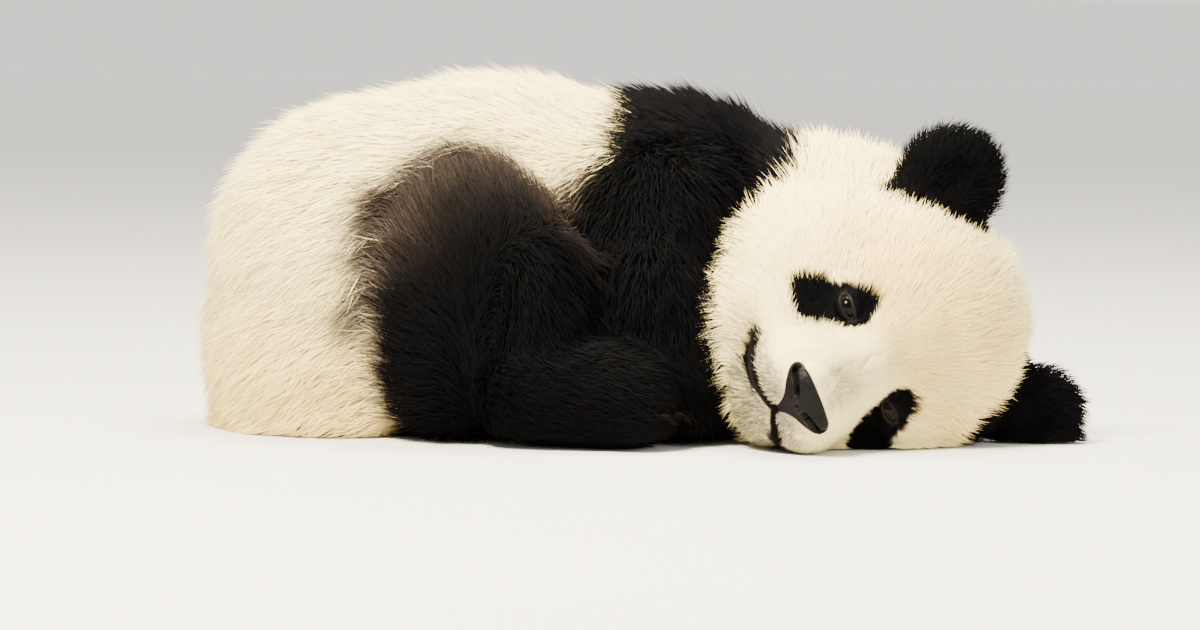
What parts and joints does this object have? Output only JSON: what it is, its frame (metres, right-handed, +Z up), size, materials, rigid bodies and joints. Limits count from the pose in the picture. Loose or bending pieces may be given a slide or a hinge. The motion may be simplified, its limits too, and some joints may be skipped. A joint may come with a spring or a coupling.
{
  "type": "giant panda",
  "caption": "Still, life-size young giant panda resting on its front with its head laid on one cheek, a furred black and cream body in one rigid piece.",
  "frame": {"origin": "on the floor, at the middle of the box round the animal", "axes": "+X from the rump to the crown of the head, +Y to the animal's left, +Z up"},
  "size_m": [0.775, 0.5022, 0.3135],
  "materials": {
    "cream_fur": "thick soft cream fur",
    "black_fur": "thick soft black fur",
    "nose_leather": "bare, finely pebbled, slightly moist skin",
    "eye_brown": "moist and glossy, dark brown",
    "claw_horn": "smooth dark horn"
  },
  "bodies": {
    "root": {"ear_left": "black_fur", "ear_right": "black_fur", "eye_left": "eye_brown", "eye_right": "eye_brown", "forearm_left": "black_fur", "forearm_right": "black_fur", "forepaw_left": "black_fur", "forepaw_left_claw_1": "claw_horn", "forepaw_left_claw_2": "claw_horn", "forepaw_left_claw_3": "claw_horn", "forepaw_left_claw_4": "claw_horn", "forepaw_left_claw_5": "claw_horn", "forepaw_right": "black_fur", "forepaw_right_claw_1": "claw_horn", "forepaw_right_claw_2": "claw_horn", "forepaw_right_claw_3": "claw_horn", "forepaw_right_claw_4": "claw_horn", "forepaw_right_claw_5": "claw_horn", "head": "cream_fur", "hind_foot_left": "black_fur", "hind_foot_left_claw_1": "claw_horn", "hind_foot_left_claw_2": "claw_horn", "hind_foot_left_claw_3": "claw_horn", "hind_foot_left_claw_4": "claw_horn", "hind_foot_left_claw_5": "claw_horn", "hind_foot_right": "black_fur", "hind_foot_right_claw_1": "claw_horn", "hind_foot_right_claw_2": "claw_horn", "hind_foot_right_claw_3": "claw_horn", "hind_foot_right_claw_4": "claw_horn", "hind_foot_right_claw_5": "claw_horn", "neck": "cream_fur", "nose": "nose_leather", "shank_left": "black_fur", "shank_right": "black_fur", "shoulders": "black_fur", "tail": "cream_fur", "thigh_left": "black_fur", "thigh_right": "black_fur", "trunk": "cream_fur", "upper_arm_left": "black_fur", "upper_arm_right": "black_fur"}
  },
  "joints": []
}
